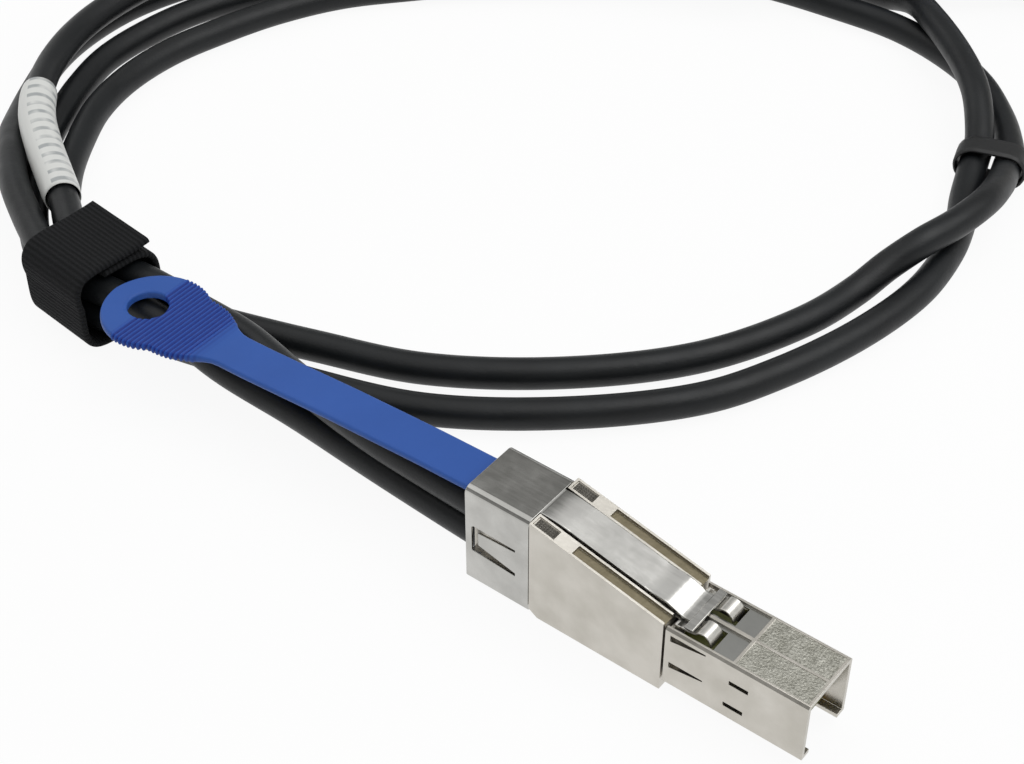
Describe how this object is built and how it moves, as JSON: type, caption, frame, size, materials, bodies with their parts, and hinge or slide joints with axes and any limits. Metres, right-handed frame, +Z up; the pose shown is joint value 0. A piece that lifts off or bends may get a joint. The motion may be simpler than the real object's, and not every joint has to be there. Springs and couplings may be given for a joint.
{
  "type": "external serial storage cable",
  "caption": "Coiled external high-density serial storage cable with latching metal plugs, blue pull tabs, round black leads and a hook-and-loop strap",
  "frame": {"origin": "middle of the flat underside of the near plug backshell, on the surface it lies on", "axes": "X along the near plug towards its nose, Y across it, Z up"},
  "size_m": [0.2477, 0.2846, 0.0219],
  "materials": {
    "die_cast": "satin die casting",
    "stamped_metal": "bright plated sheet",
    "board": "solder mask",
    "black_plastic": "moulded",
    "foil": "foil",
    "blue_plastic": "moulded, soft",
    "jacket": "smooth cable jacket",
    "label": "wrapped label under clear film",
    "strap": "hook-and-loop tape",
    "tape": "adhesive tape"
  },
  "bodies": {
    "cable_and_shells": {"near_backshell": "die_cast", "near_nose": "die_cast", "near_lid": "die_cast", "near_rear_rivet": "stamped_metal", "near_front_rivet": "stamped_metal", "near_lower_board": "board", "near_upper_board": "board", "near_board_spacer": "black_plastic", "near_wire_organiser": "black_plastic", "near_lower_bundle": "foil", "near_upper_bundle": "foil", "near_bundle_clamp": "foil", "far_backshell": "die_cast", "far_nose": "die_cast", "far_lid": "die_cast", "far_rear_rivet": "stamped_metal", "far_front_rivet": "stamped_metal", "far_lower_board": "board", "far_upper_board": "board", "far_board_spacer": "black_plastic", "far_wire_organiser": "black_plastic", "far_lower_bundle": "foil", "far_upper_bundle": "foil", "far_bundle_clamp": "foil", "upper_cable": "jacket", "lower_cable": "jacket", "cable_label": "label", "cable_strap": "strap", "tape_band": "tape"},
    "near_release": {"near_slider": "stamped_metal", "near_pull_tab": "blue_plastic"},
    "near_catch": {"near_latch": "stamped_metal"},
    "far_release": {"far_slider": "stamped_metal", "far_pull_tab": "blue_plastic"},
    "far_catch": {"far_latch": "stamped_metal"}
  },
  "joints": [
    {"name": "near_pull", "type": "slide", "parent": "cable_and_shells", "child": "near_release", "axis": [-1, 0, 0], "range_m": [0, 0.0025], "stiffness_N_per_m": 1200},
    {"name": "near_catch_dip", "type": "hinge", "parent": "cable_and_shells", "child": "near_catch", "pos_m": [0.0095, 0, 0.0149], "axis": [0, 1, 0], "range_deg": [0, 3], "stiffness_Nm_per_rad": 0.05},
    {"name": "far_pull", "type": "slide", "parent": "cable_and_shells", "child": "far_release", "axis": [-0.8192, -0.5736, 0], "range_m": [0, 0.0025], "stiffness_N_per_m": 1200},
    {"name": "far_catch_dip", "type": "hinge", "parent": "cable_and_shells", "child": "far_catch", "pos_m": [-0.00012, 0.24985, 0.0149], "axis": [-0.5736, 0.8192, 0], "range_deg": [0, 3], "stiffness_Nm_per_rad": 0.05}
  ],
  "couplings": [
    {"joint": "near_catch_dip", "follows": "near_pull", "rad_per_m": 20.9},
    {"joint": "far_catch_dip", "follows": "far_pull", "rad_per_m": 20.9}
  ]
}
